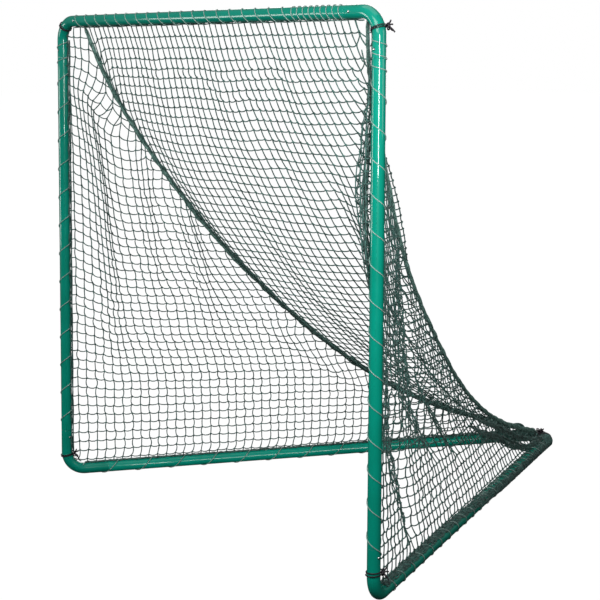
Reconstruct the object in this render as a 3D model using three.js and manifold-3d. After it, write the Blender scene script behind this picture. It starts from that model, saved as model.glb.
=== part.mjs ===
// Lacrosse goal: a square tube mouth on a V-shaped base, closed by a laced net of three panels.
// Millimetres, +Z up, mouth facing -Y. The origin is on the ground under the middle of the goal.

import * as THREE from 'three';
import { mergeVertices } from 'three/addons/utils/BufferGeometryUtils.js';
import Module from 'manifold-3d';

const wasm = await Module();
wasm.setup();

// Driving dimensions of the frame
const mouthSpan = 1873; // between the centre lines of the posts
const mouthHeight = 1873; // from the rails' centre lines to the crossbar's
const goalDepth = 2047; // from the mouth to where the rails' centre lines would meet
const tubeDiameter = 44.5;
const tubeWall = 1.6;
const bendRadius = 76; // of every elbow, on its centre line
const topLeg = 146; // elbow legs, from the corner of the centre lines to the seam
const footLeg = 170;
const rearLeg = 226;
const spigotLength = 56; // the reduced tube end that slides into an elbow
const fitGap = 0.3; // between pieces that slide together
const cutOverrun = 2;

// Spring button and clip inside each tube joint
const buttonInset = 28; // from the seam into the elbow's leg
const buttonDiameter = 8;
const buttonProud = 4.5; // above the elbow's surface
const buttonDome = 2.5; // height of the rounded head
const flangeDiameter = 12;
const flangeThickness = 1;
const clipWidth = 10;
const clipThickness = 0.8;
const clipReach = 34; // from the button to the start of the clip's bend
const clipTail = 10; // how far the leaves run past the button

// Netting, tape and cords
const twineDiameter = 4;
const tapeWidth = 22;
const tapeThickness = 10;
const laceDiameter = 3;
const tieDiameter = 4;
const restGap = 0.4; // between soft pieces that lie on each other
const groundCutShare = 0.1; // of the cord's diameter, worn flat where the goal stands on it
const seamInset = 138; // from the corner of the mouth to where a seam leaves the crossbar
const laceClear = 12; // from a seam to the first turn of a lacing
const postTurns = 13;
const crossbarTurns = 20;
const railTurns = 14;
const tieTurns = 2;
const tiePitch = 6.5;
const knotLength = 24;
const knotThickness = 15;

// Counts of facets
const tubeSides = 16;
const bendSteps = 6;
const rearBendSteps = 9;
const buttonSides = 8;
const clipBendSteps = 6;
const turnSteps = 8;
const knotSides = 7;
const netColumns = 10; // of a side panel, post to rear
const sideRows = 6;
const backColumns = 9;

const turn = 2 * Math.PI;
const X = new THREE.Vector3(1, 0, 0);
const Y = new THREE.Vector3(0, 1, 0);
const Z = new THREE.Vector3(0, 0, 1);

// Sizes that follow from the driving ones
const tubeRadius = tubeDiameter / 2;
const tubeBore = tubeRadius - tubeWall;
const facetShrink = Math.cos(Math.PI / tubeSides); // a facet's middle lies this much nearer the axis
const spigotRadius = tubeBore * facetShrink - fitGap;
const spigotBore = spigotRadius - tubeWall;
const turnShrink = Math.cos(Math.PI / turnSteps);

// A round cord is drawn with a square section of the same area
const squareHalfShare = Math.sqrt(Math.PI) / 4;
const laceHalf = laceDiameter * squareHalfShare;
const laceRadius = (tubeRadius + restGap) / turnShrink + laceHalf;
const laceReach = laceRadius + laceHalf;
const twineRadius = twineDiameter / 2;
const netReach = laceReach + restGap + twineRadius;
const railHeight = laceReach - laceDiameter * groundCutShare;
const halfSpan = mouthSpan / 2;
const crossbarHeight = railHeight + mouthHeight;

const railLength = Math.hypot(halfSpan, goalDepth);
const rearAngle = 2 * Math.atan2(halfSpan, goalDepth); // between the two rails
const rearTangent = bendRadius / Math.tan(rearAngle / 2);
const rearArcDepth = goalDepth - bendRadius * (1 / Math.sin(rearAngle / 2) - 1);

const tieHalf = tieDiameter * squareHalfShare;
// The inside of the bend rises this much under a tie
const tieRise = ((tieTurns * tiePitch) / 2) ** 2 / (2 * (bendRadius - tubeRadius));
const tieRadius = (tubeRadius + restGap + tieRise) / turnShrink + tieHalf;
const tieReach = tieRadius + tieHalf;
const elbowNetReach = tieReach + restGap + twineRadius;

const vec = (x, y, z) => new THREE.Vector3(x, y, z);
const along = (point, direction, distance) => point.clone().addScaledVector(direction, distance);
const mix = (a, b, share) => a.clone().lerp(b, share);
const mirrorX = (v) => vec(-v.x, v.y, v.z);

// The goal's named corners and directions; side is 1 on the right and -1 on the left
const topCorner = (side) => vec(side * halfSpan, 0, crossbarHeight);
const footCorner = (side) => vec(side * halfSpan, 0, railHeight);
const rearCorner = vec(0, goalDepth, railHeight);
const railDirection = (side) => vec(-side * halfSpan, goalDepth, 0).normalize();
const railOutward = (side) => vec(side * goalDepth, halfSpan, 0).normalize();

function solid(geometry) {
  const bare = geometry.index ? geometry.toNonIndexed() : geometry.clone();
  for (const name of Object.keys(bare.attributes)) {
    if (name !== 'position') bare.deleteAttribute(name);
  }
  const merged = mergeVertices(bare, 1e-4);
  const mesh = new wasm.Mesh({
    numProp: 3,
    vertProperties: new Float32Array(merged.attributes.position.array),
    triVerts: new Uint32Array(merged.index.array),
  });
  return new wasm.Manifold(mesh);
}

function geometryOf(body) {
  const { vertProperties, triVerts } = body.getMesh();
  const geometry = new THREE.BufferGeometry();
  geometry.setAttribute('position', new THREE.BufferAttribute(vertProperties, 3));
  geometry.setIndex(new THREE.BufferAttribute(triVerts, 1));
  return geometry;
}

function signedVolume(points, triangles) {
  let total = 0;
  for (const [a, b, c] of triangles) {
    total += points[a].dot(points[b].clone().cross(points[c])) / 6;
  }
  return total;
}

function bodyFrom(points, triangles) {
  const outward = signedVolume(points, triangles) > 0;
  const geometry = new THREE.BufferGeometry();
  geometry.setFromPoints(points);
  geometry.setIndex(triangles.flatMap(([a, b, c]) => (outward ? [a, b, c] : [a, c, b])));
  return geometry;
}

function mirrored(geometry) {
  const position = geometry.attributes.position;
  const points = [];
  for (let i = 0; i < position.count; i += 1) {
    points.push(vec(-position.getX(i), position.getY(i), position.getZ(i)));
  }
  const index = geometry.index.array;
  const triangles = [];
  for (let i = 0; i < index.length; i += 3) {
    triangles.push([index[i], index[i + 2], index[i + 1]]);
  }
  return bodyFrom(points, triangles);
}

// Elbow: a ring section swept down one leg, round the bend and out along the other leg
class ElbowRoute extends THREE.Curve {
  constructor(angle, legA, legB, steps) {
    super();
    const tangent = bendRadius / Math.tan(angle / 2);
    const legDirection = vec(Math.cos(angle), Math.sin(angle), 0);
    const centre = vec(tangent, bendRadius, 0);
    this.stations = [{ at: vec(legA, 0, 0), heading: vec(-1, 0, 0) }];
    for (let i = 0; i <= steps; i += 1) {
      const swing = ((Math.PI - angle) * i) / steps;
      this.stations.push({
        at: along(along(centre, Y, -bendRadius * Math.cos(swing)), X, -bendRadius * Math.sin(swing)),
        heading: vec(-Math.cos(swing), Math.sin(swing), 0),
      });
    }
    this.stations.push({ at: legDirection.clone().multiplyScalar(legB), heading: legDirection });
    this.steps = this.stations.length - 1;
  }

  getPointAt(share, target = new THREE.Vector3()) {
    return target.copy(this.stations[Math.round(share * this.steps)].at);
  }

  getTangentAt(share, target = new THREE.Vector3()) {
    return target.copy(this.stations[Math.round(share * this.steps)].heading);
  }
}

function buttonHole(centre, face) {
  const radius = (buttonDiameter / 2 + fitGap) / Math.cos(Math.PI / buttonSides);
  const depth = tubeRadius + cutOverrun;
  const drill = new THREE.CylinderGeometry(radius, radius, depth, buttonSides);
  drill.applyQuaternion(new THREE.Quaternion().setFromUnitVectors(Y, face));
  drill.translate(...along(centre, face, depth / 2).toArray());
  return solid(drill);
}

function elbowBody(angle, legA, legB, faceA, faceB, steps) {
  const ring = new THREE.Shape().absarc(0, 0, tubeRadius, 0, turn, false);
  ring.holes.push(new THREE.Path().absarc(0, 0, tubeBore, 0, turn, true));
  const route = new ElbowRoute(angle, legA, legB, steps);
  const swept = new THREE.ExtrudeGeometry(ring, {
    steps: route.steps,
    extrudePath: route,
    curveSegments: tubeSides / 2,
    bevelEnabled: false,
  });
  const legDirection = vec(Math.cos(angle), Math.sin(angle), 0);
  return geometryOf(
    solid(swept)
      .subtract(buttonHole(vec(legA - buttonInset, 0, 0), faceA))
      .subtract(buttonHole(legDirection.clone().multiplyScalar(legB - buttonInset), faceB)),
  );
}

// Straight tube with a reduced spigot at both ends; the lathe's axis runs along the tube
function tubeBody(length, faceStart, faceEnd) {
  const shoulder = tubeRadius - spigotRadius; // the reduction is a cone as long as it is deep
  const low = fitGap / 2;
  const high = length - fitGap / 2;
  const profile = [
    [spigotBore, -spigotLength],
    [spigotRadius, -spigotLength],
    [spigotRadius, low],
    [tubeRadius, low],
    [tubeRadius, high],
    [spigotRadius, high],
    [spigotRadius, length + spigotLength],
    [spigotBore, length + spigotLength],
    [spigotBore, high - shoulder],
    [tubeBore, high - 2 * shoulder],
    [tubeBore, low + 2 * shoulder],
    [spigotBore, low + shoulder],
    [spigotBore, -spigotLength],
  ].map(([radius, height]) => new THREE.Vector2(radius, height));
  const lathe = new THREE.LatheGeometry(profile, tubeSides);
  return geometryOf(
    solid(lathe)
      .subtract(buttonHole(vec(0, -buttonInset, 0), faceStart))
      .subtract(buttonHole(vec(0, length + buttonInset, 0), faceEnd)),
  );
}

// Inside a joint: local +Z points out through the button's hole, +X along the tube away from the elbow
const boreMiddle = spigotBore * facetShrink;
const flangeTop = Math.sqrt(boreMiddle ** 2 - (flangeDiameter / 2) ** 2) - fitGap;
const leafTop = flangeTop - flangeThickness;
const leafFloor = -Math.sqrt(boreMiddle ** 2 - (clipWidth / 2) ** 2) + fitGap;

function buttonBody() {
  const radius = buttonDiameter / 2;
  const crown = tubeRadius + buttonProud;
  const profile = [new THREE.Vector2(0, leafTop - clipThickness / 2)];
  profile.push(new THREE.Vector2(flangeDiameter / 2, leafTop - clipThickness / 2));
  profile.push(new THREE.Vector2(flangeDiameter / 2, flangeTop));
  profile.push(new THREE.Vector2(radius, flangeTop));
  for (const share of [0, 0.4, 0.75]) {
    const height = crown - buttonDome + buttonDome * Math.sin((share * turn) / 4);
    profile.push(new THREE.Vector2(radius * Math.cos((share * turn) / 4), height));
  }
  profile.push(new THREE.Vector2(0, crown));
  const head = new THREE.LatheGeometry(profile, buttonSides);
  head.rotateX(turn / 4);
  const length = clipReach + clipTail - fitGap;
  const leaf = new THREE.BoxGeometry(length, clipWidth, clipThickness);
  leaf.translate(length / 2 - clipTail, 0, leafTop - clipThickness / 2);
  return geometryOf(solid(head).add(solid(leaf)));
}

function clipBody() {
  const outer = (leafTop - leafFloor) / 2;
  const middle = (leafTop + leafFloor) / 2;
  const profile = new THREE.Shape();
  profile.moveTo(-clipTail, leafFloor);
  profile.lineTo(clipReach, leafFloor);
  profile.absarc(clipReach, middle, outer, -turn / 4, turn / 4, false);
  profile.lineTo(clipReach, leafTop - clipThickness);
  profile.absarc(clipReach, middle, outer - clipThickness, turn / 4, -turn / 4, true);
  profile.lineTo(-clipTail, leafFloor + clipThickness);
  const strip = new THREE.ExtrudeGeometry(profile, {
    depth: clipWidth,
    curveSegments: clipBendSteps,
    bevelEnabled: false,
  });
  strip.rotateX(turn / 4);
  strip.translate(0, clipWidth / 2, 0);
  return geometryOf(solid(strip));
}

// A cord or tape along stations, each with its place, its outward direction and its side direction.
// The section is a ring of points, each a distance outward and a distance sideways.
function cordBody(stations, section) {
  const points = stations.flatMap(({ at, out, across }) => (
    section.map(([outward, sideways]) => along(along(at, out, outward), across, sideways))
  ));
  const sides = section.length;
  const triangles = [];
  for (let i = 0; i < stations.length - 1; i += 1) {
    for (let k = 0; k < sides; k += 1) {
      const a = sides * i + k;
      const b = sides * i + ((k + 1) % sides);
      triangles.push([a, a + sides, b + sides], [a, b + sides, b]);
    }
  }
  const last = points.length - sides;
  for (let k = 2; k < sides; k += 1) {
    const near = [1, k, (k + 1) % sides];
    triangles.push(near);
    triangles.push([last + near[0], last + near[2], last + near[1]]);
  }
  return bodyFrom(points, triangles);
}

const squareSection = (half) => [[-half, -half], [half, -half], [half, half], [-half, half]];

// Turns wound on a straight stretch of tube, starting on the netting's side of it
function windingStations(start, heading, netSide, turns, pitch, radius, hand) {
  const across = heading.clone().cross(netSide).multiplyScalar(hand);
  const stations = [];
  for (let i = 0; i <= turns * turnSteps; i += 1) {
    const angle = (turn * i) / turnSteps;
    const out = netSide.clone().multiplyScalar(Math.cos(angle)).addScaledVector(across, Math.sin(angle));
    const slope = across.clone().multiplyScalar(Math.cos(angle)).addScaledVector(netSide, -Math.sin(angle));
    const tangent = slope.multiplyScalar((turn * radius) / pitch).add(heading).normalize();
    stations.push({
      at: along(along(start, heading, (pitch * i) / turnSteps), out, radius),
      out,
      across: tangent.cross(out).normalize(),
    });
  }
  return stations;
}

function leastGap(stations, half) {
  let least = Infinity;
  for (let i = 0; i < stations.length; i += 1) {
    for (let j = i + turnSteps / 2; j < stations.length; j += 1) {
      least = Math.min(least, stations[i].at.distanceTo(stations[j].at));
    }
  }
  return least - 2 * half * Math.SQRT2;
}

const groundSlab = () => {
  const size = 2 * (goalDepth + mouthSpan);
  const slab = new THREE.BoxGeometry(size, size, tubeDiameter);
  slab.translate(0, 0, -tubeDiameter / 2);
  return solid(slab);
};

function lacingBody(name, from, heading, netSide, length, turns, hand) {
  const stations = windingStations(from, heading, netSide, turns, length / turns, laceRadius, hand);
  console.log(`${name}: least gap between its turns ${leastGap(stations, laceHalf).toFixed(1)} mm`);
  return geometryOf(solid(cordBody(stations, squareSection(laceHalf))).subtract(groundSlab()));
}

// A short tie: its turns start and end in one knot
function tieBody(name, centre, heading, knotSide, radius, half) {
  const start = along(centre, heading, (-tieTurns * tiePitch) / 2);
  const stations = windingStations(start, heading, knotSide, tieTurns, tiePitch, radius, 1);
  console.log(`${name}: least gap between its turns ${leastGap(stations, half).toFixed(1)} mm`);
  const knot = new THREE.SphereGeometry(1, knotSides, knotSides - 2);
  knot.scale(knotThickness / 2, knotLength / 2, knotThickness / 2);
  knot.applyQuaternion(new THREE.Quaternion().setFromUnitVectors(Y, heading));
  knot.translate(...along(centre, knotSide, tubeRadius + restGap + knotThickness / 2).toArray());
  return geometryOf(solid(cordBody(stations, squareSection(half))).add(solid(knot)).subtract(groundSlab()));
}

// Netting: every strand of the grid is a four-sided twine, and all strands are one body
function netBody(grid) {
  const last = [grid.length - 1, grid[0].length - 1];
  const at = (i, j) => grid[Math.min(Math.max(i, 0), last[0])][Math.min(Math.max(j, 0), last[1])];
  const directionU = (i, j) => at(i + 1, j).clone().sub(at(i - 1, j)).normalize();
  const directionV = (i, j) => at(i, j + 1).clone().sub(at(i, j - 1)).normalize();
  const points = [];
  const found = new Map();
  const vertex = (key, make) => {
    if (!found.has(key)) {
      found.set(key, points.length);
      points.push(make());
    }
    return found.get(key);
  };
  const ridge = (i, j, face) => vertex(`${i},${j},${face}`, () => {
    const normal = directionU(i, j).cross(directionV(i, j)).normalize();
    return along(at(i, j), normal, face * twineRadius);
  });
  // The rim of the gap, or of the outer edge, on the su, sv side of node i, j
  const rim = (i, j, su, sv) => {
    const outU = (su < 0 && i === 0) || (su > 0 && i === last[0]);
    const outV = (sv < 0 && j === 0) || (sv > 0 && j === last[1]);
    const edgeU = i === 0 || i === last[0];
    const edgeV = j === 0 || j === last[1];
    const keepU = outV && !outU && !edgeU ? 0 : su;
    const keepV = outU && !outV && !edgeV ? 0 : sv;
    const cornerU = outV && edgeU ? (i === 0 ? -1 : 1) : keepU;
    const cornerV = outU && edgeV ? (j === 0 ? -1 : 1) : keepV;
    return vertex(`${i},${j},rim,${cornerU},${cornerV}`, () => {
      const moved = along(at(i, j), directionU(i, j), cornerU * twineRadius);
      return along(moved, directionV(i, j), cornerV * twineRadius);
    });
  };
  const triangles = [];
  const strip = (a, b, rimB, rimA, flip) => {
    for (const face of [1, -1]) {
      const quad = [ridge(...a, face), ridge(...b, face), rimB, rimA];
      const [p, q, r, s] = (face > 0) === flip ? quad.reverse() : quad;
      triangles.push([p, q, r], [p, r, s]);
    }
  };
  for (let i = 0; i <= last[0]; i += 1) {
    for (let j = 0; j <= last[1]; j += 1) {
      if (i < last[0]) {
        strip([i, j], [i + 1, j], rim(i + 1, j, -1, 1), rim(i, j, 1, 1), false);
        strip([i, j], [i + 1, j], rim(i + 1, j, -1, -1), rim(i, j, 1, -1), true);
      }
      if (j < last[1]) {
        strip([i, j], [i, j + 1], rim(i, j + 1, 1, -1), rim(i, j, 1, 1), true);
        strip([i, j], [i, j + 1], rim(i, j + 1, -1, -1), rim(i, j, -1, 1), false);
      }
    }
  }
  return bodyFrom(points, triangles);
}

// The seam between a side panel and the back panel, from the crossbar to the rear elbow.
// It hangs in a slack curve; shares run from its start to its end across, back and down.
const seamShares = [
  [1, 0, 1],
  [0.97, 0.0615, 0.846],
  [0.798, 0.1694, 0.647],
  [0.67, 0.2772, 0.498],
  [0.564, 0.3851, 0.371],
  [0.455, 0.493, 0.262],
  [0.351, 0.6009, 0.174],
  [0.25, 0.7087, 0.1056],
  [0.151, 0.8166, 0.0534],
  [0.065, 0.9137, 0.0191],
  [0, 1, 0],
];
const diagonal = Math.SQRT1_2;
const seamClear = laceReach + restGap + tapeWidth / 2;
const seamStart = vec(halfSpan - seamInset, seamClear * diagonal, crossbarHeight - seamClear * diagonal);
const seamEnd = vec(tapeWidth, rearArcDepth - laceReach - tapeWidth, railHeight + laceReach + tapeWidth / 2);
const seamCurve = new THREE.CatmullRomCurve3(
  seamShares.map(([sx, sy, sz]) => vec(
    seamEnd.x + (seamStart.x - seamEnd.x) * sx,
    seamStart.y + (seamEnd.y - seamStart.y) * sy,
    seamEnd.z + (seamStart.z - seamEnd.z) * sz,
  )),
);

// Right side of the goal; the left is its mirror image
const side = 1;
const netBackward = vec(-diagonal, diagonal, 0); // from a post to the netting laced on it
const netUnder = vec(0, diagonal, -diagonal); // the same, from the crossbar
const railInward = railOutward(side).multiplyScalar(-1);
const netAbove = Z.clone().add(railInward).normalize(); // the same, from a rail
const elbowInset = bendRadius - (bendRadius - elbowNetReach) * diagonal;
const railNetEnd = railLength - rearTangent - laceReach;

const footNetCorner = along(along(footCorner(side), Z, elbowInset), railDirection(side), elbowInset);
const topNetCorner = along(along(topCorner(side), Z, -elbowInset), X, -elbowInset);

const railPoint = (column) => {
  if (column === 0) return footNetCorner;
  const distance = THREE.MathUtils.lerp(elbowInset, railNetEnd, column / netColumns);
  return along(along(footCorner(side), railDirection(side), distance), netAbove, netReach);
};

// Frames along the seam: heading, down the side panel, and inward to the back panel
const seamStations = [];
for (let i = 0; i < netColumns; i += 1) {
  seamStations.push({ at: seamCurve.getPointAt(i / (netColumns - 1)) });
}
seamStations.forEach((station, i) => {
  const next = seamStations[Math.min(i + 1, netColumns - 1)].at;
  const previous = seamStations[Math.max(i - 1, 0)].at;
  const heading = next.clone().sub(previous).normalize();
  const fall = railPoint(i + 1).clone().sub(station.at);
  station.down = fall.addScaledVector(heading, -fall.dot(heading)).normalize();
  station.inward = station.down.clone().cross(heading).normalize();
  if (station.inward.x > 0) station.inward.negate();
});

// The tape's flat sides have an edge along their middle, where the back panel is sewn on
const tapeBody = () => {
  const [wide, thick] = [tapeWidth / 2, tapeThickness / 2];
  return cordBody(
    seamStations.map(({ at, down: out, inward: across }) => ({ at, out, across })),
    [[-wide, -thick], [0, -thick], [wide, -thick], [wide, thick], [0, thick], [-wide, thick]],
  );
};

const tapeToSideNet = tapeWidth / 2 + restGap + twineRadius;
const tapeToBackNet = tapeThickness / 2 + restGap + twineRadius;

function sideGrid() {
  const grid = [];
  for (let i = 0; i <= netColumns; i += 1) {
    const foot = railPoint(i);
    const head = i === 0
      ? topNetCorner
      : along(seamStations[i - 1].at, seamStations[i - 1].down, tapeToSideNet);
    const column = [];
    for (let j = 0; j <= sideRows; j += 1) {
      const laced = i === 0 && j > 0 && j < sideRows;
      const point = mix(foot, head, j / sideRows);
      column.push(laced ? along(vec(halfSpan, 0, point.z), netBackward, netReach) : point);
    }
    grid.push(column);
  }
  return grid;
}

// Each row of the back panel hangs between the two seams; its sag is a share of its length
const backSagShares = [0, 0.02, 0.035, 0.045, 0.05, 0.05, 0.05, 0.045, 0.04, 0.02];

function backGrid() {
  return seamStations.map(({ at, inward }, row) => {
    const right = along(at, inward, tapeToBackNet);
    const left = mirrorX(right);
    const sag = backSagShares[row] * (right.x - left.x);
    const nodes = [];
    for (let i = 0; i <= backColumns; i += 1) {
      const share = i / backColumns;
      const point = mix(left, right, share);
      const laced = row === 0 && i > 0 && i < backColumns;
      if (laced) point.copy(along(vec(point.x, 0, crossbarHeight), netUnder, netReach));
      nodes.push(along(point, Z, -sag * 4 * share * (1 - share)));
    }
    return nodes;
  });
}

const finish = (color, roughness, metalness) => () => new THREE.MeshStandardMaterial({ color, roughness, metalness });
const paint = finish(0x007d64, 0.35, 0.2);
const brightSteel = finish(0xd8dcdc, 0.25, 0.9);
const springSteel = finish(0x6f757a, 0.4, 0.9);
const twine = finish(0x1f2b2a, 0.8, 0);
const tape = finish(0x44625a, 0.85, 0);
const lace = finish(0x20332e, 0.5, 0);
const tieCord = finish(0x241f26, 0.6, 0);

const goal = new THREE.Group();
goal.position.y = (tieReach - laceReach - rearArcDepth) / 2; // the foremost tie, the rear lashing

function add(name, geometry, material) {
  const mesh = new THREE.Mesh(geometry, material());
  mesh.name = name;
  goal.add(mesh);
  return mesh;
}

// Stands a piece on its own axes: first and second are where its X and Y axes go
function place(mesh, origin, first, second) {
  const third = first.clone().cross(second);
  const basis = new THREE.Matrix4().makeBasis(first, second, third);
  mesh.position.copy(origin);
  mesh.quaternion.setFromRotationMatrix(basis);
  return basis;
}

const localFace = (face, first, second) => vec(
  face.dot(first),
  face.dot(second),
  face.dot(first.clone().cross(second)),
);

function addElbow(name, corner, directionA, directionB, legA, legB, faceA, faceB, steps) {
  const angle = directionA.angleTo(directionB);
  const second = directionB.clone().addScaledVector(directionA, -directionB.dot(directionA)).normalize();
  const faces = [faceA, faceB].map((face) => localFace(face, directionA, second));
  const body = elbowBody(angle, legA, legB, faces[0], faces[1], steps);
  place(add(name, body, paint), corner, directionA, second);
}

function addTube(name, start, end, legStart, legEnd, faceStart, faceEnd) {
  const heading = end.clone().sub(start).normalize();
  const first = faceStart.clone();
  const length = start.distanceTo(end) - legStart - legEnd;
  const faces = [faceStart, faceEnd].map((face) => localFace(face, first, heading));
  const body = tubeBody(length, faces[0], faces[1]);
  place(add(name, body, paint), along(start, heading, legStart), first, heading);
}

function addJoint(name, corner, heading, leg, face) {
  const centre = along(corner, heading, leg - buttonInset);
  const second = face.clone().cross(heading);
  place(add(`button_${name}`, buttonBody(), brightSteel), centre, heading, second);
  place(add(`clip_${name}`, clipBody(), springSteel), centre, heading, second);
}

// Which way each spring button faces
const front = vec(0, -1, 0);
const up = Z;
const down = vec(0, 0, -1);
const footButtonFace = X; // both posts' lower buttons face the same way

addTube('crossbar', topCorner(-1), topCorner(1), topLeg, topLeg, front, front);
addJoint('crossbar_left', topCorner(-1), X, topLeg, front);
addJoint('crossbar_right', topCorner(1), vec(-1, 0, 0), topLeg, front);

for (const [label, hand] of [['left', -1], ['right', 1]]) {
  const top = topCorner(hand);
  const foot = footCorner(hand);
  const rail = railDirection(hand);
  const outward = railOutward(hand);
  const inwardX = vec(-hand, 0, 0);

  addTube(`${label}_post`, foot, top, footLeg, topLeg, footButtonFace, front);
  addTube(`${label}_base_rail`, foot, rearCorner, footLeg, rearLeg, outward, outward);
  addElbow(`top_${label}_elbow`, top, inwardX, down, topLeg, topLeg, front, front, bendSteps);
  addElbow(`bottom_${label}_elbow`, foot, up, rail, footLeg, footLeg, footButtonFace, outward, bendSteps);
  addJoint(`${label}_post_top`, top, down, topLeg, front);
  addJoint(`${label}_post_foot`, foot, up, footLeg, footButtonFace);
  addJoint(`${label}_rail_front`, foot, rail, footLeg, outward);
  addJoint(`${label}_rail_rear`, rearCorner, rail.clone().negate(), rearLeg, outward);
}

addElbow(
  'rear_elbow', rearCorner, railDirection(1).negate(), railDirection(-1).negate(),
  rearLeg, rearLeg, railOutward(1), railOutward(-1), rearBendSteps,
);

// Netting and tapes
const sideNet = netBody(sideGrid());
add('right_side_net', sideNet, twine);
add('left_side_net', mirrored(sideNet), twine);
add('back_net', netBody(backGrid()), twine);
const seamTape = tapeBody();
add('right_seam_tape', seamTape, tape);
add('left_seam_tape', mirrored(seamTape), tape);

// Lacing: one cord round each straight run of the frame
const footStart = footLeg + laceClear;
const topStart = topLeg + laceClear;
const rearStart = rearLeg + laceClear;
const postLace = lacingBody(
  'post lacing', along(footCorner(side), up, footStart), up, netBackward,
  mouthHeight - footStart - topStart, postTurns, 1,
);
add('right_post_lacing', postLace, lace);
add('left_post_lacing', mirrored(postLace), lace);
const railLace = lacingBody(
  'rail lacing', along(footCorner(side), railDirection(side), footStart), railDirection(side), netAbove,
  railLength - footStart - rearStart, railTurns, 1,
);
add('right_rail_lacing', railLace, lace);
add('left_rail_lacing', mirrored(railLace), lace);
add('crossbar_lacing', lacingBody(
  'crossbar lacing', along(topCorner(-1), X, topStart), X, netUnder,
  mouthSpan - 2 * topStart, crossbarTurns, 1,
), lace);

// Ties round the middle of each bend
const bendInset = bendRadius * (1 - diagonal); // from the corner to the middle of a square bend
const topBend = along(along(topCorner(side), X, -bendInset), Z, -bendInset);
const topTie = tieBody('top tie', topBend, vec(diagonal, 0, -diagonal), Y, tieRadius, tieHalf);
add('top_right_tie', topTie, tieCord);
add('top_left_tie', mirrored(topTie), tieCord);
const footBend = along(along(footCorner(side), Z, bendInset), railDirection(side), bendInset);
const footHeading = railDirection(side).sub(Z).normalize();
const footTie = tieBody('foot tie', footBend, footHeading, railInward, tieRadius, tieHalf);
add('bottom_right_tie', footTie, tieCord);
add('bottom_left_tie', mirrored(footTie), tieCord);
const rearBend = vec(0, rearArcDepth, railHeight);
add('rear_lashing', tieBody('rear lashing', rearBend, X, Z, laceRadius, laceHalf), lace);

export default goal;
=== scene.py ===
"""A lacrosse goal: ten green steel tubes and elbows, laced all round with a dark, slack net."""

import math

import bpy
import numpy as np
from mathutils import Matrix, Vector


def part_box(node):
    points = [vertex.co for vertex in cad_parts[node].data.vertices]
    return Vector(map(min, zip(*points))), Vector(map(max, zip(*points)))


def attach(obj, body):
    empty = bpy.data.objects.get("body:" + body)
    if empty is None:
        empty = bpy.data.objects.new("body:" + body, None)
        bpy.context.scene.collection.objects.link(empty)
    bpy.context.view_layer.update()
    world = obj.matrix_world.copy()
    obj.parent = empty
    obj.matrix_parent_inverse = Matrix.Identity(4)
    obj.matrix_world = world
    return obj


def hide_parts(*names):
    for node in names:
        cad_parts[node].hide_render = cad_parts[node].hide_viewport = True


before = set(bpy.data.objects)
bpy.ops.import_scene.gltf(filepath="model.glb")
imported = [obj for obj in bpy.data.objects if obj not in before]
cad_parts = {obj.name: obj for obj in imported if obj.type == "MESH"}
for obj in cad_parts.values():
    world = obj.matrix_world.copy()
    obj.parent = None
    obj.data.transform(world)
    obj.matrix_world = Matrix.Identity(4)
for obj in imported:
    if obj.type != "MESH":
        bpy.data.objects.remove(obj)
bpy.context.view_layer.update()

# The photographer's place: a long lens at chest height, in front of the goal's right post and turned
# to the left, so the right side of the net is seen nearly along its length.
azimuth, elevation, roll = (math.radians(degrees) for degrees in (49.4996, 5.3092, 0.3116))
eye = np.array([4.1093, -3.9981, 1.7443])
away = np.array([math.sin(azimuth), -math.cos(azimuth), math.tan(elevation)]) * math.cos(elevation)
level = np.array([math.cos(azimuth), math.sin(azimuth), 0.0])
upright = np.cross(level, -away)
lens = bpy.data.cameras.new("photo_camera")
lens.sensor_width = 36.0
lens.lens = 84.565
lens.shift_y = -0.18
lens.clip_end = 200.0
camera = bpy.data.objects.new("photo_camera", lens)
placed = np.eye(4)
placed[:3, 0] = math.cos(roll) * level + math.sin(roll) * upright
placed[:3, 1] = math.cos(roll) * upright - math.sin(roll) * level
placed[:3, 2], placed[:3, 3] = away, eye
camera.matrix_world = Matrix(placed)
bpy.context.scene.collection.objects.link(camera)
bpy.context.scene.camera = camera
bpy.context.scene.view_settings.view_transform = "Standard"

# A photographer's white studio: pale floor that meets a white background, a dim room for the paint to
# mirror, and soft lamps, of which the last lights the left rail only. Only the camera sees floor and
# background at full white.


def set_sockets(node, sockets):
    """Sets each socket of a node to its value, or links it where the value is another node's output."""
    for socket, value in sockets.items():
        if isinstance(value, bpy.types.NodeSocket):
            node.id_data.links.new(value, node.inputs[socket])
        else:
            node.inputs[socket].default_value = value


def new_node(tree, kind, sockets, **settings):
    """A shader node with these settings and sockets."""
    node = tree.nodes.new(f"ShaderNode{kind}")
    for name, value in settings.items():
        setattr(node, name, value)
    set_sockets(node, sockets)
    return node


ground = bpy.data.meshes.new("studio_floor")
floor_corners = [(across * 60, deep * 60, -0.002) for across, deep in ((-1, -1), (1, -1), (1, 1), (-1, 1))]
ground.from_pydata(floor_corners, [], [(0, 1, 2, 3)])
floor = bpy.data.objects.new("studio_floor", ground)
bpy.context.scene.collection.objects.link(floor)
floor_paint = bpy.data.materials.new("studio_floor")
floor_paint.use_nodes = True
tree = floor_paint.node_tree
rays = new_node(tree, "LightPath", {})
set_sockets(tree.nodes["Principled BSDF"], {
    "Base Color": (0.03, 0.03, 0.03, 1), "Roughness": 0.9, "Specular IOR Level": 0.0,
    "Emission Color": (1, 1, 1, 1), "Emission Strength": rays.outputs["Is Camera Ray"],
})
ground.materials.append(floor_paint)
room = bpy.data.worlds.new("white_room")
room.use_nodes = True
tree = room.node_tree
rays = new_node(tree, "LightPath", {})
glow = new_node(tree, "MapRange", {"Value": rays.outputs["Is Camera Ray"], "To Min": 0.13, "To Max": 1.0})
set_sockets(tree.nodes["Background"], {"Color": (1, 1, 1, 1), "Strength": glow.outputs["Result"]})
bpy.context.scene.world = room


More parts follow.
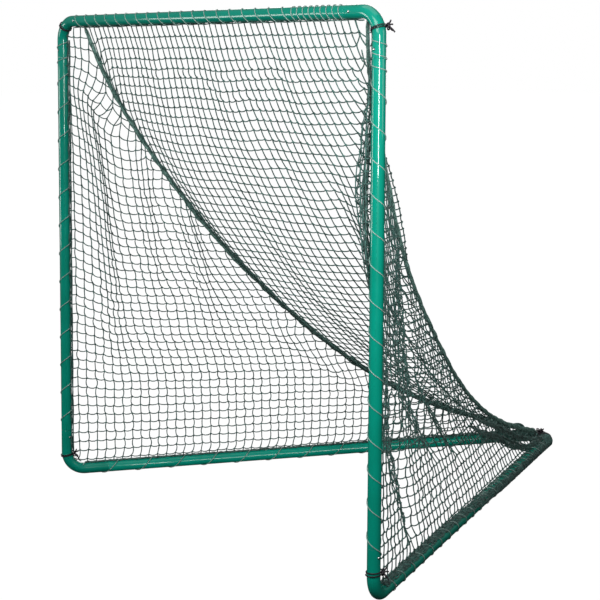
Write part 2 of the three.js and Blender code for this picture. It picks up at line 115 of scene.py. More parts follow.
def soft_light(name, place, target, size, power):
    """A rectangular lamp at place, in metres, turned so its face looks at target."""
    lamp = bpy.data.lights.new(name, "AREA")
    lamp.shape = "RECTANGLE"
    lamp.size, lamp.size_y = size
    lamp.energy = power
    holder = bpy.data.objects.new(name, lamp)
    back = np.array(place) - np.array(target)
    back /= np.linalg.norm(back)
    side = np.cross([0.0, 0.0, 1.0], back)
    side /= np.linalg.norm(side)
    turned = np.eye(4)
    turned[:3, 0], turned[:3, 1], turned[:3, 2], turned[:3, 3] = side, np.cross(back, side), back, place
    holder.matrix_world = Matrix(turned)
    holder.visible_camera = False
    bpy.context.scene.collection.objects.link(holder)
    return holder


soft_light("key_light", (2.0, -4.6, 3.6), (0.5, -0.6, 1.6), (3.0, 2.6), 135)
post_light = soft_light("post_light", (2.25, -2.0, 1.6), (0.9, -0.97, 1.45), (0.22, 0.7), 8)
post_light.data.spread = math.radians(100)
soft_light("left_light", (-3.2, -3.6, 1.1), (-0.9, -0.9, 0.8), (1.2, 1.2), 27)
soft_light("top_light", (0.2, -0.6, 5.0), (0.2, 0.1, 0.0), (3.4, 3.4), 34)
soft_light("right_light", (4.8, 1.2, 2.2), (0.5, 0.2, 0.6), (2.0, 2.0), 26)
soft_light("back_light", (-4.0, 3.8, 2.8), (0.0, 0.2, 1.0), (3.0, 3.0), 80)
rail_light = soft_light("rail_light", (4.4, -0.7, 0.75), (-0.5, -0.2, 0.1), (3.0, 1.0), 80)

# The frame is one loop of steel tube, 44.5 mm across, in ten lengths. Every bend has the same
# centre-line radius, and every tube and elbow is a stretch of this one route.
tube_radius, bend_radius, base_depth = 0.02225, 0.076, 2.047
top_leg, foot_leg, rear_leg = 0.146, 0.170, 0.226
half_span = float(np.mean([corner[0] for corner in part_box("right_post")]))
_, mouth_y, bar_z = (float(middle) for middle in np.mean(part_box("crossbar"), axis=0))
rail_z = float(np.mean([corner[2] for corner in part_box("right_base_rail")]))
corners = np.array([
    [half_span, mouth_y, bar_z],
    [half_span, mouth_y, rail_z],
    [0.0, mouth_y + base_depth, rail_z],
    [-half_span, mouth_y, rail_z],
    [-half_span, mouth_y, bar_z],
])
rail_slope = np.array([base_depth, half_span]) / math.hypot(base_depth, half_span)
net_sides = np.array([
    [0, 1, -1],
    [-1, 1, 0],
    [-rail_slope[0], -rail_slope[1], 1],
    [rail_slope[0], -rail_slope[1], 1],
    [1, 1, 0],
    [0, 1, -1],
]) / math.sqrt(2)


def unit(vectors):
    """Each vector divided by its own length."""
    return vectors / np.linalg.norm(vectors, axis=-1, keepdims=True)


def square_to(vectors, heading):
    """Each vector less its part along heading, brought to length 1."""
    return unit(vectors - np.sum(vectors * heading, axis=-1, keepdims=True) * heading)


def rounded_loop():
    """Centre line of the frame: straight runs joined by arcs, from the crossbar's middle round to it again.

    A corner whose runs turn by w loses bend_radius * tan(w / 2) of each run; on the arc a point is
    begin + n (1 - cos f) bend_radius + a sin f bend_radius, with a the heading and n the way it turns.
    Returns distances, places, headings, directions towards the net, and each arc's two ends.
    """
    places, headings, towards, ends = [], [], [], []
    middle = (corners[0] + corners[-1]) / 2
    heading_in = unit(corners - np.vstack([middle, corners[:-1]]))
    heading_out = unit(np.vstack([corners[1:], middle]) - corners)
    last = middle
    count = 59
    run = np.linspace(0, 1, count, endpoint=False)[:, None]
    for k, (corner, a, b) in enumerate(zip(corners, heading_in, heading_out)):
        swing = math.acos(float(a @ b))
        n = unit(b - (a @ b) * a)
        side, turning = net_sides[k], net_sides[k + 1] - net_sides[k]
        begin = corner - a * bend_radius * math.tan(swing / 2)
        angle = np.linspace(0, swing, count, endpoint=False)[:, None]
        arc = begin + bend_radius * (n * (1 - np.cos(angle)) + a * np.sin(angle))
        places += [last + (begin - last) * run, arc]
        headings += [np.repeat(a[None], count, 0), a * np.cos(angle) + n * np.sin(angle)]
        towards += [np.repeat(side[None], count, 0), side + turning * angle / swing]
        ends.append((count * (2 * k + 1), count * (2 * k + 2)))
        last = corner + b * bend_radius * math.tan(swing / 2)
    places.append(last + (middle - last) * np.linspace(0, 1, count + 1)[:, None])
    headings.append(np.repeat(heading_out[-1][None], count + 1, 0))
    towards.append(np.repeat(net_sides[-1][None], count + 1, 0))
    places, headings, towards = map(np.vstack, (places, headings, towards))
    distances = np.concatenate([[0], np.cumsum(np.linalg.norm(np.diff(places, axis=0), axis=1))])
    ends = [(distances[i], distances[j]) for i, j in ends]
    return distances, places, headings, square_to(towards, headings), ends


route_s, route_place, route_heading, route_towards, bend_ends = rounded_loop()
route_length = route_s[-1]


def on_route(s):
    """Place, heading, direction towards the net and their cross product at distances s along the frame."""
    place, heading, towards = (
        np.stack([np.interp(s, route_s[:-1], column, period=route_length) for column in table[:-1].T], -1)
        for table in (route_place, route_heading, route_towards)
    )
    heading = unit(heading)
    towards = square_to(towards, heading)
    return place, heading, towards, np.cross(heading, towards)


def at_point(s):
    """The same four vectors at one distance."""
    return (table[0] for table in on_route(np.array([s])))


def leg_end(corner, leg, after):
    """Distance along the route of the point that lies leg away from a corner of the centre lines."""
    begin, end = bend_ends[corner]
    spare = leg - bend_radius * math.tan((end - begin) / bend_radius / 2)
    return end + spare if after else begin - spare


def round_skin(path, first, thick, sides, joined=None):
    """Skin of round rods: path + thick (first cos t + (heading x first) sin t), t going once round.

    path holds one row of places for each rod, and joined says which neighbours in a row are linked,
    all of them if it isn't given. Each linked stretch is closed by a face at either end.
    Returns places, faces, and for each face's corners the distance along the rod and the share of t.
    """
    rods, stations, _ = path.shape
    joined = np.ones((rods, stations - 1), bool) if joined is None else joined
    steps = np.where(joined[..., None], np.diff(path, axis=1), 0)
    none = np.zeros((rods, 1, 3))
    heading = np.concatenate([steps, none], 1) + np.concatenate([none, steps], 1)
    heading = heading / (np.linalg.norm(heading, axis=-1, keepdims=True) + 1e-12)
    first = square_to(np.broadcast_to(first, path.shape) + 1e-9, heading)
    turn = np.linspace(0, 2 * math.pi, sides, endpoint=False)[:, None]
    radius = np.broadcast_to(thick, (rods, stations))[..., None, None]
    around = first[:, :, None] * np.cos(turn) + np.cross(heading, first)[:, :, None] * np.sin(turn)
    ring = path[:, :, None] + radius * around
    number = np.arange(rods * stations * sides).reshape(rods, stations, sides)
    here, after = number[:, :-1][joined], number[:, 1:][joined]
    walls = np.stack([here, np.roll(here, -1, 1), np.roll(after, -1, 1), after], -1).reshape(-1, 4)
    starts = np.concatenate([joined[:, :1], joined[:, 1:] & ~joined[:, :-1]], 1)
    stops = np.concatenate([joined[:, :-1] & ~joined[:, 1:], joined[:, -1:]], 1)
    caps = np.vstack([number[:, :-1][starts][:, ::-1], number[:, 1:][stops]])
    used = np.unique(walls)
    new_number = np.zeros(number.size, int)
    new_number[used] = np.arange(len(used))
    length = np.concatenate([np.zeros((rods, 1)), np.cumsum(np.linalg.norm(steps, axis=-1), 1)], 1)
    begin, end = (np.repeat(length[:, part][joined], sides) for part in (slice(0, -1), slice(1, None)))
    share = np.tile(np.arange(sides) / sides, joined.sum())
    rod_part = np.stack([begin, begin, end, end], -1)
    turn_part = np.stack([share, share + 1 / sides, share + 1 / sides, share], -1)
    faces = [new_number[walls], new_number[caps]]
    return ring.reshape(-1, 3)[used], faces, [np.stack([rod_part, turn_part], -1), np.zeros((*caps.shape, 2))]


def add_piece(name, skins, material, node=None, body="frame"):
    """One object from one or more skins, each of places, faces and the faces' own pattern places."""
    places = np.vstack([skin[0] for skin in skins])
    before = np.cumsum([0] + [len(skin[0]) for skin in skins])
    faces = [f + count for skin, count in zip(skins, before) for f in skin[1]]
    loops = np.concatenate([f.ravel() for f in faces]).astype(np.int32)
    counts = np.concatenate([np.full(len(f), f.shape[1]) for f in faces]).astype(np.int32)
    mesh = bpy.data.meshes.new(name)
    mesh.vertices.add(len(places))
    mesh.vertices.foreach_set("co", places.astype(np.float32).ravel())
    mesh.loops.add(len(loops))
    mesh.loops.foreach_set("vertex_index", loops)
    mesh.polygons.add(len(counts))
    mesh.polygons.foreach_set("loop_start", (np.cumsum(counts) - counts).astype(np.int32))
    mesh.polygons.foreach_set("loop_total", counts)
    mesh.polygons.foreach_set("use_smooth", np.ones(len(counts), bool))
    if len(skins[0]) > 2:
        layer = mesh.uv_layers.new(name="along")
        pattern = np.concatenate([table.reshape(-1, 2) for skin in skins for table in skin[2]])
        layer.data.foreach_set("uv", pattern.astype(np.float32).ravel())
    mesh.update()
    mesh.validate()
    mesh.materials.append(material)
    piece = bpy.data.objects.new(name, mesh)
    bpy.context.scene.collection.objects.link(piece)
    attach(piece, body)
    if node:
        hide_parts(node)
    return piece


def new_group(name, inputs, outputs):
    """An empty shader node group with these named sockets; returns it with its input and output nodes."""
    group = bpy.data.node_groups.new(name, "ShaderNodeTree")
    for direction, sockets in (("INPUT", inputs), ("OUTPUT", outputs)):
        for label, kind in sockets:
            group.interface.new_socket(name=label, in_out=direction, socket_type=kind)
    return group, group.nodes.new("NodeGroupInput"), group.nodes.new("NodeGroupOutput")


# Every finish varies a little over its piece, with dust, wear and the way it was sprayed or dyed:
# soft cloudy noise that goes from a deep colour to a high one, and the same noise as a height.
amount, tint = "NodeSocketFloat", "NodeSocketColor"
mottle, inlet, outlet = new_group(
    "mottle",
    [("Fineness", amount), ("Deep Colour", tint), ("High Colour", tint)],
    [("Colour", tint), ("Height", amount)],
)
where = new_node(mottle, "TexCoord", {})
cloud = new_node(mottle, "TexNoise", {
    "Vector": where.outputs["Object"], "Scale": inlet.outputs["Fineness"], "Detail": 3.0
})
spread = new_node(mottle, "MapRange", {"Value": cloud.outputs["Fac"], "From Min": 0.35, "From Max": 0.65})
blend = new_node(mottle, "Mix", {
    0: spread.outputs["Result"], 6: inlet.outputs["Deep Colour"], 7: inlet.outputs["High Colour"]
}, data_type="RGBA")
set_sockets(outlet, {"Colour": blend.outputs[2], "Height": cloud.outputs["Fac"]})


def mottled_material(name, deep, high, roughness, fineness, bump_fineness, bump_height, more=None):
    """A material mottled from deep to high colour and in height, with more sockets of its shader set."""
    material = bpy.data.materials.new(name)
    material.use_nodes = True
    tree = material.node_tree
    colour = new_node(tree, "Group", {
        "Fineness": fineness, "Deep Colour": (*deep, 1), "High Colour": (*high, 1)
    }, node_tree=mottle)
    relief = new_node(tree, "Group", {"Fineness": bump_fineness}, node_tree=mottle)
    bump = new_node(tree, "Bump", {
        "Strength": 0.7, "Distance": bump_height, "Height": relief.outputs["Height"]
    })
    set_sockets(tree.nodes["Principled BSDF"], {
        "Base Color": colour.outputs["Colour"], "Roughness": roughness, "Normal": bump.outputs["Normal"],
        **(more or {}),
    })
    return material


powder_coat = mottled_material(
    "powder_coat", (0.0, 0.27, 0.185), (0.0, 0.31, 0.218), 0.4, 7, 420, 0.00003,
    {"Specular IOR Level": 0.12, "Coat Weight": 1.0, "Coat Roughness": 0.06},
)

# Tubes and elbows: powder-coated steel with a wall of 1.6 mm, each a stretch of the route. The elbows
# have a drilled hole of 8.8 mm for the button of each joint.
tube_sides, tube_wall = 48, 0.0016
hole_sides, hole_radius, hole_margin = 40, 0.0044, 0.006


def drilled(skin, s, holes):
    """A tube's skin with round holes, each at a distance along the route and on the side of its face.

    Four faces of the skin give way to a ring of triangles from their outline to the circle
    (hole + r cos t, a + r sin t / R), whose edge is then drawn in by the tube's wall.
    """
    places, (walls, caps) = skin
    keep, added = np.ones(len(walls), bool), []
    turn = np.linspace(0, 2 * math.pi, hole_sides, endpoint=False)
    across = np.arange(-2, 3)
    sideways = across * 2 * math.pi / tube_sides * tube_radius
    lengthways = np.repeat([-hole_margin, hole_margin], len(across))
    outline_turn = np.arctan2(np.concatenate([sideways, -sideways]), lengthways)
    near = np.argmax(np.cos(turn[:, None] - outline_turn), 1)
    for hole, face in holes:
        _, _, towards, third = at_point(hole)
        middle = math.atan2(face @ third, face @ towards)
        column = round(middle / (2 * math.pi) * tube_sides)
        row = int(np.searchsorted(s, hole - hole_margin - 1e-6)) * tube_sides
        keep[row + (column + across[:-1]) % tube_sides] = False
        here, beyond = (column + across) % tube_sides, tube_sides + (column - across) % tube_sides
        outline = row + np.concatenate([here, beyond])
        first = np.arange(hole_sides) + len(places)
        for radius, depth in ((hole_radius + 0.0004, 0.0), (hole_radius, 0.0), (hole_radius, tube_wall)):
            at, _, towards, third = on_route(hole + radius * np.cos(turn))
            angle = (middle + radius * np.sin(turn) / tube_radius)[:, None]
            out = towards * np.cos(angle) + third * np.sin(angle)
            places = np.vstack([places, at + (tube_radius - depth) * out])
        after, begun, ended = np.roll(first, -1), outline[near], outline[np.roll(near, -1)]
        inner = np.stack([begun, after, first], -1)
        outer = np.stack([begun, ended, after], -1)[begun != ended]
        fill = np.vstack([inner, outer])
        strip = np.stack([first, after, after + hole_sides, first + hole_sides], -1)
        a, b, c = places[fill[0]]
        hand = 1 if np.cross(b - a, c - a) @ face > 0 else -1
        added += [fill[:, ::hand], strip[:, ::hand], strip[:, ::hand] + hole_sides]
    return places, [walls[keep], caps, *added]


def tube_stretch(name, begin, end, step, holes=()):
    """One length of tube from begin to end along the route, its two rims rounded by about a millimetre."""
    rim = np.array([0.0, 0.00005, 0.0002, 0.0006, 0.0012])
    rim_radius = tube_radius - np.array([0.004, 0.0009, 0.0004, 0.0001, 0.0])
    inner = np.linspace(begin + 0.004, end - 0.004, max(3, int((end - begin) / step)))
    for hole, _ in holes:
        apart = np.abs(inner - hole) > hole_margin + 0.0005
        inner = np.sort(np.concatenate([inner[apart], [hole - hole_margin, hole + hole_margin]]))
    s = np.concatenate([begin + 0.00015 + rim, inner, end - 0.00015 - rim[::-1]])
    radius = np.concatenate([rim_radius, np.full(len(inner), tube_radius), rim_radius[::-1]])
    place, _, towards, _ = on_route(s)
    skin = drilled(round_skin(place[None], towards, radius, tube_sides)[:2], s, holes)
    return add_piece(f"{name}_skin", [skin], powder_coat, name)


tube_stretch("crossbar", leg_end(4, top_leg, True) - route_length, leg_end(0, top_leg, False), 0.05)
tube_stretch("right_post", leg_end(0, top_leg, True), leg_end(1, foot_leg, False), 0.05)
tube_stretch("right_base_rail", leg_end(1, foot_leg, True), leg_end(2, rear_leg, False), 0.05)
left_rail = tube_stretch("left_base_rail", leg_end(2, rear_leg, True), leg_end(3, foot_leg, False), 0.05)
tube_stretch("left_post", leg_end(3, foot_leg, True), leg_end(4, top_leg, False), 0.05)
lit_by_rail_light = bpy.data.collections.new("lit_by_rail_light")
lit_by_rail_light.objects.link(left_rail)
rail_light.light_linking.receiver_collection = lit_by_rail_light

# Snap buttons: bright plated pins with a rounded head, one at each tube joint, pushed out through
# the elbow's hole by a V of spring strip that lies inside the tube.
chrome = mottled_material(
    "plated_steel", (0.8, 0.81, 0.81), (0.9, 0.9, 0.9), 0.2, 400, 900, 0.00002, {"Metallic": 1.0}
)
spring_strip = mottled_material(
    "spring_strip", (0.14, 0.16, 0.18), (0.2, 0.22, 0.24), 0.4, 120, 500, 0.00003, {"Metallic": 1.0}
)
# Near-black green for a thin ring round the rim of each button hole: painted shade at the hole's edge, not a
# colour of the coat.
hole_painted_shade = mottled_material(
    "hole_painted_shade", (0.004, 0.012, 0.01), (0.015, 0.04, 0.032), 0.6, 600, 900, 0.00003
)
button_inset, button_radius, button_crown = 0.028, 0.004, tube_radius + 0.0045
front, rightward = np.array([0.0, -1.0, 0.0]), np.array([1.0, 0.0, 0.0])
outward = {side: np.array([side * rail_slope[0], rail_slope[1], 0.0]) for side in (1, -1)}
buttons = [
    ("crossbar_left", leg_end(4, top_leg - button_inset, True), front),
    ("crossbar_right", leg_end(0, top_leg - button_inset, False), front),
    ("right_post_top", leg_end(0, top_leg - button_inset, True), front),
    ("right_post_foot", leg_end(1, foot_leg - button_inset, False), rightward),
    ("right_rail_front", leg_end(1, foot_leg - button_inset, True), outward[1]),
    ("right_rail_rear", leg_end(2, rear_leg - button_inset, False), outward[1]),
    ("left_rail_rear", leg_end(2, rear_leg - button_inset, True), outward[-1]),
    ("left_rail_front", leg_end(3, foot_leg - button_inset, False), outward[-1]),
    ("left_post_foot", leg_end(3, foot_leg - button_inset, True), rightward),
    ("left_post_top", leg_end(4, top_leg - button_inset, False), front),
]
elbows = ["top_right_elbow", "bottom_right_elbow", "rear_elbow", "bottom_left_elbow", "top_left_elbow"]
for corner, (name, leg) in enumerate(zip(elbows, (top_leg, foot_leg, rear_leg, foot_leg, top_leg))):
    begin, end = leg_end(corner, leg, False), leg_end(corner, leg, True)
    tube_stretch(name, begin, end, 0.004, [(s, face) for _, s, face in buttons if begin < s < end])
bow = np.linspace(0, math.pi / 2, 9)[:-1]
button_dome, button_sides = 0.0025, 32
flange_radius, flange_low, flange_high = 0.006, 0.0142, 0.0156
head_radius = np.concatenate([
    [0.0001, flange_radius, flange_radius, button_radius], button_radius * np.cos(bow), [0.0001]
])
head_height = np.concatenate([
    [flange_low, flange_low + 0.00001, flange_high, flange_high + 0.00001],
    button_crown - button_dome + button_dome * np.sin(bow), [button_crown],
])
for label, s, face in buttons:
    place, heading, _, _ = at_point(s)
    head = round_skin((place + face * head_height[:, None])[None], heading, head_radius, button_sides)
    add_piece(f"button_{label}_head", [head], chrome, f"button_{label}", f"button_{label}")
    turn = np.linspace(0, 2 * math.pi, button_sides, endpoint=False)
    # A ring 0.6 mm wide laid just over the paint round each hole in that near-black green: painted shade at
    # the hole's edge.
    ring = np.array([hole_radius, hole_radius + 0.0006])[:, None]
    rise = np.sqrt(tube_radius**2 - (ring * np.sin(turn)) ** 2) + 0.00012
    across = np.cross(face, heading)
    flat = heading * (ring * np.cos(turn))[..., None] + across * (ring * np.sin(turn))[..., None]
    here = np.arange(button_sides)
    after = np.roll(here, -1)
    walls = np.stack([here, here + button_sides, after + button_sides, after], -1)
    painted_shade_ring = (place + flat + face * rise[..., None]).reshape(-1, 3), [walls]
    add_piece(f"hole_{label}", [painted_shade_ring], hole_painted_shade)
    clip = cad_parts[f"clip_{label}"].data.materials
    clip.clear()
    clip.append(spring_strip)

# The net: dark knotted twine in 40 mm squares, cut in three panels. Threads of the side panels run
# level and upright, those of the back panel run across and down it, and the panels are a little too
# large for their places, so they hang in shallow pleats and every thread sags from knot to knot.
mesh_size, twine_radius = 0.0395, 0.0023
netting = mottled_material(
    "net_twine", (0.015, 0.056, 0.047), (0.06, 0.175, 0.15), 0.65, 60, 900, 0.0005, {"Sheen Weight": 0.15}
)

# Places on the seams, from the crossbar to the rear elbow: across, behind the mouth, over the rails
seam_marks = np.array([
    [0.803, 0.021, 1.852], [0.789, 0.075, 1.710], [0.770, 0.146, 1.556], [0.711, 0.247, 1.374],
    [0.651, 0.347, 1.204], [0.593, 0.448, 1.053], [0.545, 0.548, 0.925], [0.503, 0.649, 0.812],
    [0.461, 0.749, 0.706], [0.418, 0.849, 0.607], [0.374, 0.949, 0.516], [0.332, 1.048, 0.434],
    [0.293, 1.148, 0.361], [0.257, 1.248, 0.295], [0.222, 1.347, 0.240], [0.187, 1.447, 0.193],
    [0.152, 1.546, 0.153], [0.116, 1.646, 0.118], [0.078, 1.745, 0.085], [0.030, 1.874, 0.046],
])


def read_off(at, s, places):
    """Places at the distances at, from a table of places at distances s."""
    return np.stack([np.interp(at, s, column) for column in places.T], -1)


def smooth_curve(marks, count):
    """Points at even distances on a smooth curve through the marks, and those distances.

    Between two marks runs the cubic whose slope at each is half the step between its neighbours.
    """
    fine = np.linspace(0, len(marks) - 1, 2000)
    whole = np.clip(fine.astype(int), 0, len(marks) - 2)
    t = (fine - whole)[:, None]
    p0, p1, p2, p3 = (marks[np.clip(whole + k, 0, len(marks) - 1)] for k in (-1, 0, 1, 2))
    square, cube = 2 * p0 - 5 * p1 + 4 * p2 - p3, 3 * p1 - p0 - 3 * p2 + p3
    curve = 0.5 * (2 * p1 + (p2 - p0) * t + square * t**2 + cube * t**3)
    length = np.concatenate([[0], np.cumsum(np.linalg.norm(np.diff(curve, axis=0), axis=1))])
    even = np.linspace(0, length[-1], count)
    return read_off(even, length, curve), even


def seam_curve(count, side):
    """Points on one seam: its marks, each eased halfway towards the mean of its neighbours.

    At the crossbar the right seam starts 74 mm nearer to its post than the left one does.
    """
    eased = seam_marks + [0.0, mouth_y, rail_z]
    eased[1:-1] = 0.5 * eased[1:-1] + 0.25 * (eased[:-2] + eased[2:])
    if side > 0:
        eased[:, 0] += 0.074 * np.clip(1 - seam_marks[:, 1] / 0.1, 0, 1)
    return smooth_curve(eased, count)


seams = {side: seam_curve(600, side)[0] for side in (1, -1)}


def ease(x):
    """Smooth step from 0 to 1: 3x^2 - 2x^3, level outside."""
    x = np.clip(x, 0, 1)
    return x * x * (3 - 2 * x)


def twine(places, chains, upward, slack, uneven, seed):
    """Skin of the twine along chains of knots, each length hanging in an arc 4 t (1 - t) sag.

    chains holds one row of knot numbers per length of twine, with -1 where there is none. A thread
    slack times as long as the mesh, with chord c and length r, sags by sqrt(3 c (r - c) / 8).
    """
    dice = np.random.default_rng(seed)
    live = (chains[:, :-1] >= 0) & (chains[:, 1:] >= 0)
    begin, end = places[chains[:, :-1]], places[chains[:, 1:]]
    chord = np.linalg.norm(end - begin, axis=-1) + 1e-9
    heading = (end - begin) / chord[..., None]
    length = mesh_size * (slack + uneven * dice.normal(size=chord.shape))
    spare = np.clip(length - chord, 0.02 * (slack - 1), 0.006)
    way = square_to(dice.normal(0, 0.22, heading.shape) + [0, 0, -1.0], heading)
    sag = np.minimum(np.sqrt(0.375 * chord * spare), 0.13 * chord)
    t = np.array([0, 1 / 3, 2 / 3])[:, None]
    hang = (way * sag[..., None])[:, :, None] * 4 * t * (1 - t)
    run = begin[:, :, None] + (end - begin)[:, :, None] * t + hang
    path = np.concatenate([run.reshape(len(chains), -1, 3), places[chains[:, -1:]]], 1)
    thick = twine_radius * (1 + 0.06 * dice.normal(size=path.shape[:2]))
    return round_skin(path, upward, thick, 5, np.repeat(live, 3, axis=1))[:2]


def knots_at(centres, seed):
    """Knots as twelve-cornered solids, each stretched by its own three sizes, 1.6 to 2.2 twine radii."""
    dice = np.random.default_rng(seed)
    gold = (1 + math.sqrt(5)) / 2
    tips = np.array([[0, a, b * gold] for a in (1, -1) for b in (1, -1)])
    tips = unit(np.vstack([tips, np.roll(tips, 1, 1), np.roll(tips, 2, 1)]))
    near = np.linalg.norm(tips[:, None] - tips[None], axis=-1) < 1.1
    faces = np.array([
        (i, j, k) for i in range(12) for j in range(i + 1, 12) for k in range(j + 1, 12)
        if near[i, j] and near[j, k] and near[i, k]
    ])
    a, b, c = tips[faces[:, 0]], tips[faces[:, 1]], tips[faces[:, 2]]
    wrong = np.sum(np.cross(b - a, c - a) * a, axis=1) < 0
    faces[wrong] = faces[wrong][:, ::-1]
    size = twine_radius * dice.uniform(1.6, 2.2, (len(centres), 1, 3))
    points = centres[:, None] + tips * size
    return points.reshape(-1, 3), [(np.arange(len(centres))[:, None, None] * 12 + faces).reshape(-1, 3)]


def drawn_in(places, held, chains, passes):
    """Shortens every thread that is longer than its mesh by moving both of its ends.

    Each pass moves a knot by 1.3 times the mean of half the excess of the threads that meet in it.
    """
    pairs = [np.stack([rows[:, :-1], rows[:, 1:]], -1) for rows in chains]
    a, b = np.vstack([pair[(pair >= 0).all(-1)] for pair in pairs]).T
    meeting = np.maximum(np.bincount(a, minlength=len(places)) + np.bincount(b, minlength=len(places)), 1)
    freedom = np.where(held, 0.0, 1.3 / meeting)[:, None]
    for _ in range(passes):
        span = places[b] - places[a]
        length = np.linalg.norm(span, axis=1) + 1e-9
        pull = 0.5 * span * (np.maximum(length - mesh_size, 0) / length)[:, None]
        move = np.stack([
            np.bincount(a, part, len(places)) - np.bincount(b, part, len(places)) for part in pull.T
        ], -1)
        places = places + move * freedom
    return places


def woven(curves, begin, pitch, first, last, foot_tips, head_tips):
    """Knots laid mesh by mesh along rows that are given as curves, and the twine that joins them.

    curves holds each row as many places. Its knots lie at arc lengths begin + pitch * k for k from
    first to last - 1. Each row gets a tip at either end; foot_tips and head_tips give the columns' tips.
    Returns the places, how many of them are knots, and the chains of the rows and of the columns.
    """
    rows = len(curves)
    steps = np.linalg.norm(np.diff(curves, axis=1), axis=2)
    length = np.concatenate([np.zeros((rows, 1)), np.cumsum(steps, axis=1)], 1)
    reach = begin[:, None] + pitch[:, None] * np.arange(first, last)
    inside = (reach > 0.3 * pitch[:, None]) & (reach < length[:, -1:] - 0.3 * pitch[:, None])
    knots = np.stack([read_off(reach[r], length[r], curves[r]) for r in range(rows)])
    number = np.where(inside, np.cumsum(inside).reshape(inside.shape) - 1, -1)
    count, kept = int(inside.sum()), inside.any(1)
    start_number, stop_number = np.full((2, rows), -1)
    start_number[kept] = count + np.arange(kept.sum())
    stop_number[kept] = count + kept.sum() + np.arange(kept.sum())
    first_at, last_at = np.argmax(inside, 1), inside.shape[1] - 1 - np.argmax(inside[:, ::-1], 1)
    row_chains = np.full((rows, inside.shape[1] + 2), -1)
    row_chains[:, 1:-1] = number
    row_chains[kept, first_at[kept]] = start_number[kept]
    row_chains[kept, last_at[kept] + 2] = stop_number[kept]
    low_at, high_at = np.argmax(inside, 0), rows - 1 - np.argmax(inside[::-1], 0)
    column_chains = np.full((inside.shape[1], rows + 2), -1)
    column_chains[:, 1:-1] = number.T
    which = np.nonzero(inside.any(0))[0]
    low = foot_tips(knots[low_at[which], which], low_at[which])
    high = head_tips(knots[high_at[which], which], high_at[which])
    low_ok, high_ok = ~np.isnan(low[:, 0]), ~np.isnan(high[:, 0])
    base = count + 2 * kept.sum()
    with_low, with_high = which[low_ok], which[high_ok]
    column_chains[with_low, low_at[with_low]] = base + np.arange(len(with_low))
    column_chains[with_high, high_at[with_high] + 2] = base + len(with_low) + np.arange(len(with_high))
    places = np.vstack([knots[inside], curves[kept, 0], curves[kept, -1], low[low_ok], high[high_ok]])
    return places, count, row_chains, column_chains


def net_panel(name, node, weave, passes, seed, extra=()):
    """One panel of the net: its knots nudged a little, its long threads drawn in, then twine and knots."""
    places, count, row_chains, column_chains = weave
    places = places.copy()
    places[:count] += np.random.default_rng(seed).normal(0, 0.0011, (count, 3))
    places = drawn_in(places, np.arange(len(places)) >= count, (row_chains, column_chains), passes)
    rows = twine(places, row_chains, np.array([0.05, 0.02, 1.0]), 1.025, 0.012, seed + 1)
    columns = twine(places, column_chains, np.array([1.0, 0.3, 0.02]), 1.003, 0.004, seed + 2)
    add_piece(name, [rows, columns, knots_at(places[:count], seed + 3), *extra], netting, node)


border_reach = tube_radius + 0.0066


def back_rows(down, count):
    """Rows of the back panel as curves from left seam to right, each a shallow trough.

    A row keeps the seams' depth and height, less 0.6 and 0.8 of a push: deep (1 - |share|^5), three
    folds h exp(-((share - c) / w)^2) beside the seams, and three slow waves.
    """
    reach = np.concatenate([[0], np.cumsum(np.linalg.norm(np.diff(seams[-1][:, 1:], axis=0), axis=1))])
    left, right = (np.interp(down, reach, seams[side][:, 0])[:, None] for side in (-1, 1))
    depth, height = (np.interp(down, reach, seams[-1][:, axis])[:, None] for axis in (1, 2))
    share = np.linspace(-1, 1, count)[None, :]
    x = np.where(share > 0, right, left) * share
    narrow = np.clip(left / 0.5, 0, 1)
    deep = 0.042 * ease(down / 0.5)[:, None] * narrow * (1 - np.abs(share) ** 5)
    folds = ((0.030, 0.80, 0.07), (-0.018, 0.62, 0.09), (0.006, -0.72, 0.06))
    fold = sum(high * np.exp(-(((share - centre) / wide) ** 2)) for high, centre, wide in folds)
    fold = fold * ease((down - 0.25) / 0.5)[:, None] * narrow
    along = down[:, None]
    free = (1 - share**4) * ease(down / 0.12)[:, None]
    wave = 0.0045 * np.sin(x * 15 + 1.1 * np.sin(along * 2.1) + 0.4)
    wave = wave + 0.0022 * np.sin(x * 31 - along * 5 + 2.0) + 0.003 * np.sin(x * 9 + along * 7)
    push = deep + fold + wave * free
    return np.stack([x, depth - 0.6 * push, height - 0.8 * push], -1), reach


def back_weave():
    """Knots and threads of the back panel, rows from the crossbar down, columns counted from the middle."""
    down = 0.030 + np.cumsum(mesh_size * (0.87 + 0.15 * ease(np.arange(80) / 14)))
    down = down[down < 2.73]
    half = 120
    curves, reach = back_rows(down, 2 * half + 1)
    middle = np.sum(np.linalg.norm(np.diff(curves[:, :half + 1], axis=1), axis=2), axis=1)

    def to_seam(knots, row):
        """Places on the seams as far from the middle as the knots are."""
        at = np.interp(-np.abs(knots[:, 0]), -seams[-1][:, 0], reach)
        tips = read_off(at, reach, seams[-1])
        tips[:, 0] *= np.sign(knots[:, 0])
        return tips

    def to_bar(knots, row):
        """Places behind the crossbar over the knots of the first row, on the seams for any other."""
        place, _, towards, _ = on_route(knots[:, 0])
        return np.where((row > 0)[:, None], to_seam(knots, row), place + border_reach * towards)

    return woven(curves, middle, mesh_size * (0.84 + 0.24 * ease(down / 0.7)), -30, 31, to_bar, to_seam)


net_panel("back_net_mesh", "back_net", back_weave(), passes=12, seed=3)

# Side panels hang from the post and the seam over the rail. Their meshes crowd together upwards and
# towards the seam, and the spare cloth stands in folds that run down from the gathered edge.
rail_corner = corners[1]
rail_along = np.array([-rail_slope[1], rail_slope[0], 0.0])
rail_inward = np.array([-rail_slope[0], -rail_slope[1], 0.0])
border_angle = math.radians(40)


